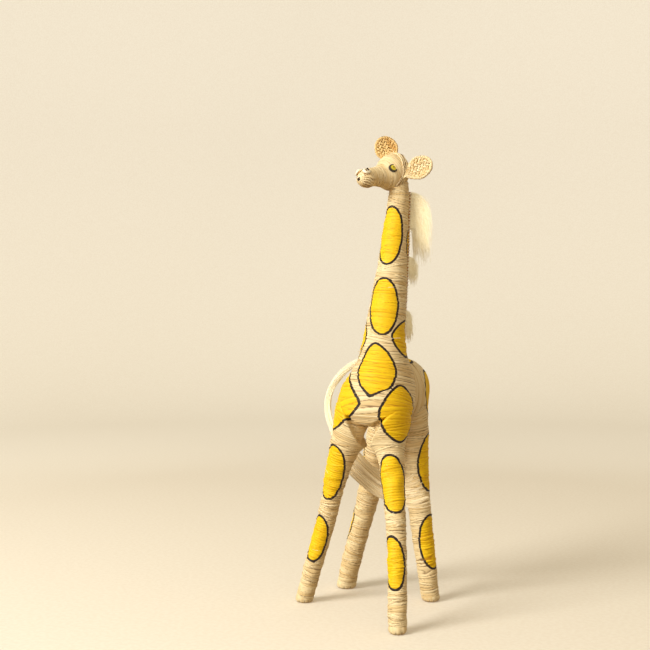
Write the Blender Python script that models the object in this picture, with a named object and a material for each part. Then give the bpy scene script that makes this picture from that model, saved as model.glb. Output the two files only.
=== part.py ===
"""Wrapped-fibre giraffe figure: wire armature, straw cores, raffia wraps, plaited ears, mane and tail.

Blender 4.5. Metres in the scene, +Z up, the figure facing -Y with its own left side at +X.
The stations below are in millimetres from the point on the floor under the shoulders. The
"giraffe" empty then carries every piece, so that the origin is the bottom centre of the figure's box.
"""

import math

import bmesh
import bpy
from mathutils import Matrix, Vector

MM = 0.001

# Clearances and thicknesses, mm
GAP = 0.3
WRAP_THICKNESS = 2.5
CORE_INSET = WRAP_THICKNESS + 2 * GAP
SOLE_HEIGHT = 3.5
WRAP_START = SOLE_HEIGHT + GAP
WIRE_START = 5.0

SPINE_WIRE_RADIUS = 1.3
LEG_WIRE_RADIUS = 1.2
BINDING_RING = 5.8
BINDING_WIRE = 1.0
POCKET_RADIUS = 7.4
POCKET_LENGTH = 4.0

# Roundness: bevel resolution n gives 4 + 2n sides
OUTER_SIDES = 5
INNER_SIDES = 3
WIRE_SIDES = 2

# Stations are (x, y, z, radius): the centre line of each limb and how thick it is there
COLUMN = [
    (0.0, 0.5, 162.5, 9.0),
    (0.0, 0.5, 167.5, 20.5),
    (0.2, 0.3, 174.0, 26.6),
    (0.4, 0.2, 181.0, 29.0),
    (1.3, 2.8, 192.0, 27.6),
    (2.5, 4.4, 202.0, 25.6),
    (3.4, 6.1, 212.5, 23.0),
    (3.7, 7.1, 222.5, 20.7),
    (4.0, 9.5, 243.0, 17.4),
    (5.3, 13.3, 264.0, 15.8),
    (6.8, 16.2, 285.0, 14.2),
    (8.2, 19.0, 306.0, 12.4),
    (8.8, 21.4, 323.5, 11.6),
    (9.6, 23.5, 339.0, 10.4),
    (10.4, 25.6, 354.0, 9.4),
    (10.9, 27.2, 367.5, 8.5),
    (9.6, 27.6, 381.0, 7.0),
]
TORSO = [
    (0.0, -8.0, 189.0, 7.0),
    (0.0, -1.0, 189.5, 16.0),
    (0.0, 9.0, 190.5, 22.0),
    (0.0, 20.0, 191.5, 25.8),
    (0.0, 35.0, 192.5, 27.6),
    (0.0, 50.0, 192.8, 28.0),
    (0.0, 62.0, 192.2, 27.0),
    (0.0, 71.0, 191.2, 23.8),
    (0.0, 78.0, 190.0, 17.5),
    (0.0, 82.5, 189.0, 8.5),
]
HEAD = [
    (12.2, 38.5, 387.4, 4.5),
    (9.9, 34.0, 386.6, 11.2),
    (7.9, 30.0, 385.6, 14.4),
    (5.2, 24.9, 383.4, 15.5),
    (2.1, 19.0, 380.3, 13.3),
    (-1.2, 12.9, 378.6, 9.6),
    (-4.5, 6.8, 377.5, 8.2),
    (-7.7, 0.6, 376.2, 7.9),
    (-9.6, -2.9, 375.2, 7.1),
    (-11.4, -6.6, 374.4, 4.8),
]
LEGS = {
    "front_left": [
        (12.6, -1.0, 180.0, 13.8),
        (14.3, -3.2, 170.0, 14.8),
        (15.0, -5.2, 160.0, 14.0),
        (16.5, -8.6, 144.0, 11.7),
        (19.8, -13.8, 124.0, 10.4),
        (24.0, -20.2, 99.3, 8.8),
        (27.0, -25.0, 80.0, 8.2),
        (29.5, -29.6, 58.0, 7.8),
        (32.2, -36.4, 14.0, 7.7),
        (32.9, -38.4, 2.0, 7.0),
        (33.4, -39.8, -7.0, 5.6),
    ],
    "front_right": [
        (-12.2, -1.5, 184.0, 14.6),
        (-17.2, -2.4, 172.5, 15.6),
        (-22.6, -1.6, 159.5, 14.6),
        (-30.5, 0.6, 139.7, 12.5),
        (-37.0, 1.9, 122.6, 10.5),
        (-44.2, 4.6, 97.3, 8.5),
        (-50.0, 7.4, 78.0, 8.4),
        (-60.2, 10.4, 48.0, 8.1),
        (-67.8, 12.6, 25.4, 7.8),
        (-75.4, 15.4, 2.0, 7.3),
        (-78.2, 16.4, -7.0, 5.6),
    ],
    "rear_left": [
        (13.0, 46.5, 180.0, 10.5),
        (14.4, 50.6, 167.0, 13.2),
        (15.0, 52.8, 155.0, 13.8),
        (16.3, 55.4, 127.7, 11.7),
        (18.0, 57.3, 100.5, 10.5),
        (20.6, 59.6, 67.8, 9.8),
        (24.2, 62.2, 34.2, 8.9),
        (27.3, 64.6, 2.0, 7.7),
        (28.2, 65.4, -7.0, 6.0),
    ],
    "rear_right": [
        (-13.0, 53.0, 180.0, 10.5),
        (-14.4, 57.4, 166.0, 13.2),
        (-16.6, 59.8, 153.0, 14.0),
        (-24.2, 62.9, 124.6, 12.6),
        (-31.0, 66.0, 100.5, 10.8),
        (-36.4, 68.4, 82.1, 9.8),
        (-47.0, 72.2, 48.7, 9.0),
        (-54.2, 73.8, 24.2, 8.9),
        (-60.0, 75.6, 2.0, 8.4),
        (-62.2, 76.4, -7.0, 6.4),
    ],
}
# The top of each leg wire leaves its leg, turns and lies along the spine wire through the binding
WIRE_TOPS = {
    "front_left": [(8.0, 4.5, 181.5), (3.2, 9.0, 186.4), (3.0, 18.0, 187.4)],
    "front_right": [(-8.0, 3.0, 181.5), (-3.2, 9.0, 186.4), (-3.0, 18.0, 187.4)],
    "rear_left": [(9.0, 49.5, 182.0), (3.2, 54.5, 189.4), (3.0, 65.0, 190.0)],
    "rear_right": [(-9.0, 53.0, 182.0), (-3.2, 56.0, 189.4), (-3.0, 65.0, 190.0)],
}
SPINE_WIRE = [
    (-4.5, 6.7, 378.4),
    (2.6, 20.0, 381.6),
    (8.2, 26.4, 378.0),
    (10.6, 27.0, 366.0),
    (9.6, 23.5, 339.0),
    (8.2, 19.0, 306.0),
    (5.3, 13.3, 264.0),
    (3.7, 7.1, 222.5),
    (1.3, 2.8, 200.0),
    (0.0, 4.0, 190.5),
    (0.0, 9.0, 187.2),
    (0.0, 18.0, 187.4),
    (0.0, 40.0, 189.4),
    (0.0, 56.0, 190.0),
    (0.0, 70.0, 190.0),
]
BINDINGS = {"shoulder": (0.0, 14.0, 187.3), "hip": (0.0, 60.5, 190.0)}

# Ears: centre, direction from base to tip, direction that the open side faces, half length, half width
EARS = {
    "left": ((30.4, 20.9, 384.6), (0.911, 0.098, 0.401), (0.14, -0.942, 0.306), 12.2, 9.8),
    "right": ((-2.6, 32.8, 404.6), (-0.447, -0.034, 0.894), (0.254, -0.946, 0.204), 11.8, 9.2),
}
EAR_THICKNESS = 1.8
EAR_RIM_RADIUS = 1.5
EAR_STEM_RADIUS = 0.8
EAR_STEM_INSIDE = 9.0
EAR_STEM_IN_PANEL = 5.0

# Bands on the head: station of the head's centre line, start and end angle from the crown, degrees
BANDS = {
    "crown_band": (2, 2, 54),
    "left_cheek_band": (3, 124, 160),
    "right_cheek_band": (3, -160, -62),
}
BAND_RADIUS = 1.0

# Mane: where the back of the neck faces at the top and at the bottom of the mane, and its tufts
MANE_TOP = 366.0
MANE_BOTTOM = 236.0
MANE_RADIUS = 1.1
MANE_FACING_TOP = (0.80, 0.60)
MANE_FACING_BOTTOM = (0.66, 0.75)
TUFTS = [(362.0, 42.0, 9.5, 4.6), (303.0, 21.0, 5.5, 2.8), (256.0, 22.0, 5.0, 2.6)]
TUFT_STAND_OFF = 2 * MANE_RADIUS + 2 * GAP

TAIL_ARCH = [
    (1.0, 82.5, 202.0, 2.6),
    (-8.0, 90.0, 207.5, 2.5),
    (-26.0, 91.0, 213.0, 2.4),
    (-40.0, 86.3, 216.0, 2.4),
    (-50.5, 79.0, 213.6, 2.4),
    (-60.0, 68.5, 204.9, 2.4),
    (-65.4, 57.3, 193.1, 2.5),
    (-65.8, 46.2, 179.9, 2.6),
    (-61.2, 37.5, 166.9, 2.9),
    (-53.2, 31.4, 154.1, 3.4),
    (-45.0, 28.8, 142.2, 4.0),
]
TAIL_TASSEL = [
    (-43.6, 28.6, 140.2, 4.2),
    (-34.8, 29.4, 128.1, 6.2),
    (-22.6, 31.6, 115.8, 8.0),
    (-8.8, 34.6, 105.4, 8.4),
    (6.9, 37.3, 100.5, 7.0),
    (20.4, 38.4, 101.4, 4.6),
    (30.6, 39.6, 105.6, 1.8),
]
TAIL_ROOT_RING = 4.6
TAIL_ROOT_WIRE = 1.3

COLOURS = {
    "raffia": ((0.80, 0.66, 0.42), 0.75, 0.0),
    "straw": ((0.72, 0.58, 0.33), 0.9, 0.0),
    "wire": ((0.42, 0.41, 0.40), 0.45, 1.0),
    "plait": ((0.70, 0.48, 0.22), 0.7, 0.0),
    "fibre": ((0.88, 0.82, 0.62), 0.8, 0.0),
}


def smooth(stations, steps):
    """Catmull-Rom points through the stations, with the radius carried along."""
    rows = [Vector(row) for row in stations]
    rows = [2 * rows[0] - rows[1], *rows, 2 * rows[-1] - rows[-2]]
    points = []
    for i in range(1, len(rows) - 2):
        a, b, c, d = rows[i - 1 : i + 3]
        for step in range(steps):
            t = step / steps
            bend = (2 * a - 5 * b + 4 * c - d) * t**2
            twist = (3 * b - a - 3 * c + d) * t**3
            points.append(0.5 * (2 * b + (c - a) * t + bend + twist))
    return points + [rows[-2]]


def limb(name, stations, extra=0.0, sides=OUTER_SIDES, steps=1, material=None):
    """A closed solid of round sections. It grows by extra all round and at both ends."""
    path = smooth([(*row, 1.0)[:4] for row in stations], steps)
    first = (path[0] - path[1]).xyz.normalized() * extra
    last = (path[-1] - path[-2]).xyz.normalized() * extra
    path[0] = path[0] + Vector((*first, 0))
    path[-1] = path[-1] + Vector((*last, 0))
    curve = bpy.data.curves.new(name, "CURVE")
    curve.dimensions = "3D"
    curve.bevel_depth = MM
    curve.bevel_resolution = sides
    curve.use_fill_caps = True
    spline = curve.splines.new("POLY")
    spline.points.add(len(path) - 1)
    for point, row in zip(spline.points, path):
        point.co = (*(row.xyz * MM), 1)
        point.radius = row.w + extra
    return as_mesh(name, curve, material)


def wire(name, points, radius, extra=0.0):
    rows = [(x, y, z, radius) for x, y, z in points]
    return limb(name, rows, extra, WIRE_SIDES, 1, "wire")


def as_mesh(name, curve, material):
    """The curve's tube as a mesh object with its caps welded on."""
    tube = bpy.data.objects.new(name + "_curve", curve)
    bpy.context.scene.collection.objects.link(tube)
    graph = bpy.context.evaluated_depsgraph_get()
    mesh = bpy.data.meshes.new_from_object(tube.evaluated_get(graph))
    bpy.data.objects.remove(tube)
    bpy.data.curves.remove(curve)
    shape = bmesh.new()
    shape.from_mesh(mesh)
    bmesh.ops.remove_doubles(shape, verts=shape.verts, dist=1e-7)
    bmesh.ops.recalc_face_normals(shape, faces=shape.faces)
    shape.to_mesh(mesh)
    shape.free()
    mesh.name = name
    return placed(bpy.data.objects.new(name, mesh), material)


def placed(obj, material):
    """Puts an object among the pieces with its material, or among the cutters where it has none."""
    for old in list(obj.users_collection):
        old.objects.unlink(obj)
    obj.data.materials.clear()
    if material is None:
        CUTTERS.objects.link(obj)
        obj.hide_render = True
        obj.display_type = "WIRE"
    else:
        PIECES.objects.link(obj)
        obj.data.materials.append(MATERIALS[material])
        obj.data.shade_smooth()
        obj.data.set_sharp_from_angle(angle=math.radians(40))
    obj.parent = ROOT
    return obj


def ring(name, centre, major, minor, axis, material, squash=(1.0, 1.0), across=None):
    """A torus about axis. With across given it is an ellipse, its first half axis along across."""
    bpy.ops.mesh.primitive_torus_add(
        major_radius=major * MM, minor_radius=minor * MM, major_segments=16, minor_segments=6
    )
    obj = bpy.context.object
    obj.name = name
    obj.data.name = name
    for vertex in obj.data.vertices:
        reach = math.hypot(vertex.co.x, vertex.co.y)
        stretch = (reach - major * MM) / reach
        rim_x = vertex.co.x * (1 - stretch) * squash[0]
        rim_y = vertex.co.y * (1 - stretch) * squash[1]
        vertex.co.x = rim_x + vertex.co.x * stretch
        vertex.co.y = rim_y + vertex.co.y * stretch
    obj.matrix_world = basis(centre, across, axis)
    return placed(obj, material)


def basis(centre, across, axis):
    """A frame at centre, in mm, with its Z along axis and its X along across."""
    up = Vector(axis).normalized()
    side = Vector(across) if across else up.orthogonal()
    side = (side - side.dot(up) * up).normalized()
    turn = Matrix((side, up.cross(side), up)).transposed().to_4x4()
    return Matrix.Translation(Vector(centre) * MM) @ turn


def block(name, low, high):
    """A box-shaped cutter between two corners, in mm."""
    bpy.ops.mesh.primitive_cube_add(size=1)
    obj = bpy.context.object
    obj.name = name
    low, high = Vector(low) * MM, Vector(high) * MM
    obj.scale = high - low
    obj.location = (low + high) / 2
    return placed(obj, None)


def cut(obj, *cutters, operation="DIFFERENCE"):
    for cutter in cutters:
        modifier = obj.modifiers.new("less_" + cutter.name, "BOOLEAN")
        modifier.operation = operation
        modifier.object = cutter
    return obj


def build_armature():
    """The spine wire, one wire in each leg and the two rings of binding wire; returns their bores."""
    bores = {}
    paths = {"spine": SPINE_WIRE}
    wire("spine_wire", SPINE_WIRE, SPINE_WIRE_RADIUS)
    bores["spine"] = wire_bore("spine", SPINE_WIRE, SPINE_WIRE_RADIUS)
    for leg, stations in LEGS.items():
        inside = [row[:3] for row in stations[1:-1] if row[2] > WIRE_START + 10]
        bottom = Vector(stations[-2][:3]).lerp(Vector(inside[-1]), 0.25)
        paths[leg] = [*WIRE_TOPS[leg][::-1], *inside, tuple(bottom)]
        wire(leg + "_leg_wire", paths[leg], LEG_WIRE_RADIUS)
        bores[leg] = wire_bore(leg, paths[leg], LEG_WIRE_RADIUS)
    for place, centre in BINDINGS.items():
        ring(place + "_binding", centre, BINDING_RING, BINDING_WIRE, (0, 1, 0), "wire")
        half = Vector((0, POCKET_LENGTH / 2, 0))
        ends = [(*(Vector(centre) - half), POCKET_RADIUS), (*(Vector(centre) + half), POCKET_RADIUS)]
        bores[place] = limb(place + "_pocket", ends, GAP, INNER_SIDES)
    return bores


def wire_bore(name, points, radius):
    bore = wire(name + "_bore", points, radius, GAP)
    return placed(bore, None)


def build_trunk(bores):
    """The chest and neck column, the torso and the head, each a fibre wrap round a straw core."""
    column = limb("column_clear", COLUMN, GAP, INNER_SIDES + 2)
    torso = limb("torso_clear", TORSO, GAP, INNER_SIDES + 2)
    head = limb("head_clear", HEAD, GAP, INNER_SIDES + 2)
    stems = [bores["left_stem"], bores["right_stem"]]
    front = [bores["spine"], bores["front_left"], bores["front_right"]]
    rear = [bores["spine"], bores["rear_left"], bores["rear_right"]]
    wrapped("neck", COLUMN, [head, *front], [bores["shoulder"]])
    wrapped("torso", TORSO, [column, *rear], [bores["hip"]])
    wrapped("head", HEAD, [bores["spine"], *stems], [])
    return column, torso, head


def wrapped(name, stations, cutters, core_cutters):
    hollow = limb(name + "_hollow", stations, -WRAP_THICKNESS, INNER_SIDES)
    cut(limb(name + "_wrap", stations, material="raffia"), hollow, *cutters)
    core = limb(name + "_core", stations, -CORE_INSET, INNER_SIDES, material="straw")
    cut(core, *cutters, *core_cutters)


def build_legs(bores, column, torso):
    """Each leg's wrap, straw core and flat sole, trimmed to the trunk above and the floor below."""
    wide = 200
    under_wrap = block("under_wrap", (-wide, -wide, -wide), (wide, wide, WRAP_START))
    under_core = block("under_core", (-wide, -wide, -wide), (wide, wide, WRAP_START + GAP))
    sole_slab = block("sole_slab", (-wide, -wide, 0), (wide, wide, SOLE_HEIGHT))
    for leg, stations in LEGS.items():
        trunk = [torso, column] if leg.startswith("front") else [torso]
        hollow = limb(leg + "_leg_hollow", stations, -WRAP_THICKNESS, INNER_SIDES)
        cut(limb(leg + "_leg_wrap", stations, material="raffia"), hollow, *trunk, under_wrap)
        core = limb(leg + "_leg_core", stations, -CORE_INSET, INNER_SIDES, material="straw")
        cut(core, *trunk, under_core, bores[leg])
        cut(limb(leg + "_sole", stations, material="raffia"), sole_slab, operation="INTERSECT")


def ear_stem(side):
    """The ends of the stem that holds an ear: inside the head, and in the base of the ear's panel."""
    centre, tip, _, length, _ = EARS[side]
    base = Vector(centre) - Vector(tip).normalized() * length
    inner = base - Vector(tip).normalized() * EAR_STEM_INSIDE
    outer = base + Vector(tip).normalized() * EAR_STEM_IN_PANEL
    return [tuple(inner), tuple(outer)]


def build_ears(bores, head):
    """Each ear is a plaited panel in a bound rim, held on the head by a wire stem."""
    for side, (centre, tip, facing, length, width) in EARS.items():
        stem = bores[side + "_stem"]
        wire(side + "_ear_stem", ear_stem(side), EAR_STEM_RADIUS)
        shape = (1.0, width / length)
        rim = ring(side + "_ear_rim", centre, length, EAR_RIM_RADIUS, facing, "plait", shape, tip)
        inside = EAR_RIM_RADIUS + GAP
        panel = oval(side + "_ear_panel", length - inside, width - inside, basis(centre, tip, facing))
        cut(rim, head, stem)
        cut(panel, head, stem)


def oval(name, length, width, matrix):
    """A flat oval plate: a round one, scaled along and across."""
    bpy.ops.mesh.primitive_cylinder_add(vertices=24, radius=1, depth=EAR_THICKNESS * MM)
    obj = bpy.context.object
    obj.name = name
    obj.data.name = name
    obj.data.transform(Matrix.Diagonal((length * MM, width * MM, 1, 1)))
    obj.matrix_world = matrix
    return placed(obj, "plait")


def build_bands(column):
    """Thick strands laid on the head: over the crown and down each cheek."""
    tail_end = Vector(HEAD[0][:3])
    nose = Vector(HEAD[-1][:3])
    along = (nose - tail_end).normalized()
    up = (Vector((0, 0, 1)) - along.z * along).normalized()
    left = along.cross(up) * -1
    for name, (station, start, end) in BANDS.items():
        x, y, z, radius = HEAD[station]
        lift = radius + BAND_RADIUS + 2 * GAP
        count = max(4, round(abs(end - start) / 12))
        rows = []
        for step in range(count + 1):
            angle = math.radians(start + (end - start) * step / count)
            point = Vector((x, y, z)) + lift * (up * math.cos(angle) + left * math.sin(angle))
            rows.append((*point, BAND_RADIUS))
        cut(limb(name, rows, sides=WIRE_SIDES, material="plait"), column)


def neck_at(height):
    """The neck's centre and radius at a height, between the column's stations."""
    for low, high in zip(COLUMN, COLUMN[1:]):
        if low[2] <= height <= high[2]:
            share = (height - low[2]) / (high[2] - low[2])
            return Vector(low).lerp(Vector(high), share)
    raise ValueError("no neck at that height")


def nape(height, stand_off):
    """A point that far outside the neck, on the side where the mane grows."""
    row = neck_at(height)
    share = (height - MANE_BOTTOM) / (MANE_TOP - MANE_BOTTOM)
    facing = Vector(MANE_FACING_BOTTOM).lerp(Vector(MANE_FACING_TOP), share).normalized()
    return Vector((row.x + facing.x * (row.w + stand_off), row.y + facing.y * (row.w + stand_off), height))


def build_mane():
    """A sewn cord down the nape, and fibre tufts hanging clear of it."""
    count = 12
    heights = [MANE_BOTTOM + (MANE_TOP - MANE_BOTTOM) * step / count for step in range(count + 1)]
    rows = [(*nape(height, MANE_RADIUS + GAP + 0.4), MANE_RADIUS) for height in heights]
    limb("mane_cord", rows, sides=WIRE_SIDES, material="fibre")
    for number, (top, drop, out, radius) in enumerate(TUFTS, 1):
        root = nape(top, TUFT_STAND_OFF + 1.2)
        belly = nape(top - 0.30 * drop, TUFT_STAND_OFF + out * 0.75)
        hang = nape(top - 0.70 * drop, TUFT_STAND_OFF + out)
        end = nape(top - drop, TUFT_STAND_OFF + out * 0.95)
        rows = [(*root, 0.9), (*belly, radius * 0.85), (*hang, radius), (*end, radius * 0.25)]
        limb(f"mane_tuft_{number}", rows, sides=INNER_SIDES, steps=2, material="fibre")


def build_tail(torso):
    """The tail: a root ring at the rump, a stiff sheaf that arches round the flank, and its tassel."""
    arch = limb("tail_sheaf", TAIL_ARCH, sides=WIRE_SIDES, material="fibre", steps=2)
    cut(arch, torso)
    limb("tail_tassel", TAIL_TASSEL, sides=INNER_SIDES, material="fibre", steps=2)
    start, following = Vector(TAIL_ARCH[0][:3]), Vector(TAIL_ARCH[1][:3])
    centre = start.lerp(following, 0.42)
    root = ring("tail_root", centre, TAIL_ROOT_RING, TAIL_ROOT_WIRE, following - start, "raffia")
    cut(root, torso)


def rest_on_floor_centre():
    """Moves the empty so that the origin is the bottom centre of the whole figure's box."""
    bpy.context.view_layer.update()
    graph = bpy.context.evaluated_depsgraph_get()
    corners = []
    for obj in PIECES.objects:
        evaluated = obj.evaluated_get(graph)
        corners += [evaluated.matrix_world @ Vector(corner) for corner in evaluated.bound_box]
    for axis in range(2):
        values = [corner[axis] for corner in corners]
        ROOT.location[axis] = -(min(values) + max(values)) / 2


def material(name, colour, roughness, metallic):
    made = bpy.data.materials.new(name)
    made.use_nodes = True
    made.diffuse_color = (*colour, 1)
    shader = made.node_tree.nodes["Principled BSDF"]
    shader.inputs["Base Color"].default_value = (*colour, 1)
    shader.inputs["Roughness"].default_value = roughness
    shader.inputs["Metallic"].default_value = metallic
    return made


for existing in list(bpy.data.objects):
    bpy.data.objects.remove(existing)
PIECES = bpy.data.collections.new("giraffe_figure")
CUTTERS = bpy.data.collections.new("cutters")
bpy.context.scene.collection.children.link(PIECES)
bpy.context.scene.collection.children.link(CUTTERS)
MATERIALS = {name: material(name, *values) for name, values in COLOURS.items()}
ROOT = bpy.data.objects.new("giraffe", None)
PIECES.objects.link(ROOT)

all_bores = build_armature()
for ear in EARS:
    all_bores[ear + "_stem"] = wire_bore(ear + "_stem", ear_stem(ear), EAR_STEM_RADIUS)
column_clear, torso_clear, head_clear = build_trunk(all_bores)
build_legs(all_bores, column_clear, torso_clear)
build_ears(all_bores, head_clear)
build_bands(column_clear)
build_mane()
build_tail(torso_clear)
rest_on_floor_centre()
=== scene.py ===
"""Looks for the wrapped-fibre giraffe figure: strand wraps, painted spots, plaited ears, mane and tail.

Shapes are worked out in millimetres from the point on the floor under the shoulders, as the figure's
solids are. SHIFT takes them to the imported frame, and each piece becomes a mesh in metres there.
"""

import math

import bpy
import numpy as np
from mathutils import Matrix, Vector


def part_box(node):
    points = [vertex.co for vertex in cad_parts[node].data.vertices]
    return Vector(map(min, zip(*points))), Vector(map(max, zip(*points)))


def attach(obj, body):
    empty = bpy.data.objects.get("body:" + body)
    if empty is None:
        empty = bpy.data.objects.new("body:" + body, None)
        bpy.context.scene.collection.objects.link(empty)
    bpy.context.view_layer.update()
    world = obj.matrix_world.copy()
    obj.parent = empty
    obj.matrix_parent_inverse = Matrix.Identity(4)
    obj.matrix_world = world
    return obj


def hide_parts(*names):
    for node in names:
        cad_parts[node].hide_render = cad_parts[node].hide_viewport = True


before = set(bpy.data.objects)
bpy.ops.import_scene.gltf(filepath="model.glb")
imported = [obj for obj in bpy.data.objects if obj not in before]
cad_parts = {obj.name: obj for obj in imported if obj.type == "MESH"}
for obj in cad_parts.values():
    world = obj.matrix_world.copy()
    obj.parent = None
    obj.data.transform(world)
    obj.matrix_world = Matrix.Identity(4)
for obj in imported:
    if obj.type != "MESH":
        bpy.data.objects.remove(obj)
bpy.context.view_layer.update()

MM = 0.001
BINDING_CENTRE = np.array([0.0, 14.0, 187.3])
binding_low, binding_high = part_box("shoulder_binding")
SHIFT = np.array((binding_low + binding_high) / 2) / MM - BINDING_CENTRE
TURN = 2 * math.pi

# ---- the figure's solids, in mm

# Stations are (x, y, z, radius): the centre line of each limb and how thick it is there
COLUMN = [
    (0.0, 0.5, 162.5, 9.0), (0.0, 0.5, 167.5, 20.5), (0.2, 0.3, 174.0, 26.6), (0.4, 0.2, 181.0, 29.0),
    (1.3, 2.8, 192.0, 27.6), (2.5, 4.4, 202.0, 25.6), (3.4, 6.1, 212.5, 23.0), (3.7, 7.1, 222.5, 20.7),
    (4.0, 9.5, 243.0, 17.4), (5.3, 13.3, 264.0, 15.8), (6.8, 16.2, 285.0, 14.2), (8.2, 19.0, 306.0, 12.4),
    (8.8, 21.4, 323.5, 11.6), (9.6, 23.5, 339.0, 10.4), (10.4, 25.6, 354.0, 9.4),
    (10.9, 27.2, 367.5, 8.5), (9.6, 27.6, 381.0, 7.0),
]
TORSO = [
    (0.0, -8.0, 189.0, 7.0), (0.0, -1.0, 189.5, 16.0), (0.0, 9.0, 190.5, 22.0), (0.0, 20.0, 191.5, 25.8),
    (0.0, 35.0, 192.5, 27.6), (0.0, 50.0, 192.8, 28.0), (0.0, 62.0, 192.2, 27.0),
    (0.0, 71.0, 191.2, 23.8), (0.0, 78.0, 190.0, 17.5), (0.0, 82.5, 189.0, 8.5),
]
HEAD = [
    (12.2, 38.5, 387.4, 4.5), (9.9, 34.0, 386.6, 11.2), (7.9, 30.0, 385.6, 14.4),
    (5.2, 24.9, 383.4, 15.5), (2.1, 19.0, 380.3, 13.3), (-1.2, 12.9, 378.6, 9.6), (-4.5, 6.8, 377.5, 8.2),
    (-7.7, 0.6, 376.2, 7.9), (-9.6, -2.9, 375.2, 7.1), (-11.4, -6.6, 374.4, 4.8),
]
HEAD_BACK = [(13.3, 40.6, 387.8, 0.3), (12.9, 39.9, 387.6, 2.4)]
HEAD_NOSE = [(-11.9, -7.6, 374.2, 3.5), (-12.3, -8.4, 374.0, 1.9), (-12.5, -8.8, 373.9, 0.3)]
LEGS = {
    "front_left": [
        (12.6, -5.0, 180.0, 13.8), (14.0, -7.4, 170.0, 14.8), (15.0, -8.4, 160.0, 14.0),
        (16.5, -9.8, 144.0, 11.7), (19.8, -13.8, 124.0, 10.4), (24.0, -20.2, 99.3, 8.8),
        (27.0, -25.0, 80.0, 8.2), (29.5, -29.6, 58.0, 7.8), (32.2, -36.4, 14.0, 7.7),
        (32.9, -38.4, 2.0, 7.0), (33.4, -39.8, -7.0, 5.6),
    ],
    "front_right": [
        (-12.2, -4.5, 184.0, 14.6), (-17.2, -5.4, 172.5, 15.6), (-22.6, -4.0, 159.5, 14.6),
        (-30.5, -0.2, 139.7, 12.5), (-37.0, 1.9, 122.6, 10.5), (-44.2, 4.6, 97.3, 8.5),
        (-50.0, 7.4, 78.0, 8.4), (-60.2, 10.4, 48.0, 8.1), (-67.8, 12.6, 25.4, 7.8),
        (-75.4, 15.4, 2.0, 7.3), (-78.2, 16.4, -7.0, 5.6),
    ],
    "rear_left": [
        (13.0, 46.5, 180.0, 10.5), (14.4, 50.6, 167.0, 13.2), (15.0, 52.8, 155.0, 13.8),
        (16.3, 55.4, 127.7, 11.7), (18.0, 57.3, 100.5, 10.5), (20.6, 59.6, 67.8, 9.8),
        (24.2, 62.2, 34.2, 8.9), (27.3, 64.6, 2.0, 7.7), (28.2, 65.4, -7.0, 6.0),
    ],
    "rear_right": [
        (-13.0, 53.0, 180.0, 10.5), (-14.4, 57.4, 166.0, 13.2), (-16.6, 59.8, 153.0, 14.0),
        (-24.2, 62.9, 124.6, 12.6), (-31.0, 66.0, 100.5, 10.8), (-36.4, 68.4, 82.1, 9.8),
        (-47.0, 72.2, 48.7, 9.0), (-54.2, 73.8, 24.2, 8.9), (-60.0, 75.6, 2.0, 8.4),
        (-62.2, 76.4, -7.0, 6.4),
    ],
}
# Ears: centre, direction from base to tip, direction that the open side faces, half length, half width
EARS = {
    "left": ((30.4, 20.9, 384.6), (0.911, 0.098, 0.401), (0.14, -0.942, 0.306), 12.2, 9.8),
    "right": ((-2.6, 32.8, 404.6), (-0.447, -0.034, 0.894), (0.254, -0.946, 0.204), 11.8, 9.2),
}
MANE_TOP = 366.0
MANE_BOTTOM = 236.0
MANE_FACING_TOP = (0.80, 0.60)
MANE_FACING_BOTTOM = (0.66, 0.75)
TAIL_ARCH = [
    (1.0, 82.5, 202.0, 2.6), (-8.0, 90.0, 207.5, 2.5), (-26.0, 91.0, 213.0, 2.4),
    (-40.0, 86.3, 216.0, 2.4), (-50.5, 79.0, 213.6, 2.4), (-60.0, 68.5, 204.9, 2.4),
    (-65.4, 57.3, 193.1, 2.5), (-65.8, 46.2, 179.9, 2.6), (-61.2, 37.5, 166.9, 2.9),
    (-53.2, 31.4, 154.1, 3.4), (-45.0, 28.8, 142.2, 4.0),
]
TAIL_TASSEL = [
    (-43.6, 28.6, 140.2, 4.2), (-34.8, 29.4, 128.1, 6.2), (-22.6, 31.6, 115.8, 8.0),
    (-8.8, 34.6, 105.4, 8.4), (6.9, 37.3, 100.5, 7.0), (20.4, 38.4, 101.4, 4.6), (30.6, 39.6, 105.6, 1.8),
]

# ---- painted spots

# On a limb: distance along it from its first station, angle from the front towards the figure's left,
# half width and half length in mm, how rounded (2 is an ellipse, less is a diamond), how many degrees
# its far end is turned from its middle, and how many more both ends are turned
SPOTS = {
    "column": [
        (165.0, -9.0, 12.3, 25.6, 2.0, -5.0, 0.0), (102.3, 4.0, 13.7, 24.6, 2.0, -9.0, 0.0),
        (46.0, 8.5, 17.2, 24.3, 1.5, -4.7, -5.7), (77.0, 98.0, 17.6, 16.4, 1.6, 10.0, 0.0),
        (72.0, -98.0, 19.3, 20.0, 1.8, 0.0, 0.0), (124.0, 172.0, 10.0, 15.0, 2.0, 0.0, 0.0),
        (160.0, 118.0, 7.0, 13.0, 2.0, 0.0, 0.0), (150.0, -118.0, 8.5, 15.0, 2.0, 0.0, 0.0),
    ],
    "front_left": [
        (65.7, 19.5, 12.7, 24.0, 2.1, 8.0, 0.0), (129.0, -6.5, 10.3, 20.8, 2.1, 11.0, 0.0),
    ],
    "front_right": [
        (66.5, -13.7, 12.6, 25.4, 2.1, 2.0, 0.0), (131.2, -14.0, 10.6, 21.6, 2.1, 7.0, 0.0),
    ],
    "rear_left": [
        (55.4, 97.0, 13.6, 26.2, 2.0, 0.0, 0.0), (127.3, 74.0, 12.6, 24.4, 2.0, 0.0, 0.0),
    ],
    "rear_right": [
        (60.0, -104.0, 12.6, 25.0, 2.0, 0.0, 0.0), (125.0, -111.0, 11.2, 22.0, 2.0, -8.0, 0.0),
    ],
    "torso": [],
    "head": [],
}
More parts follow.
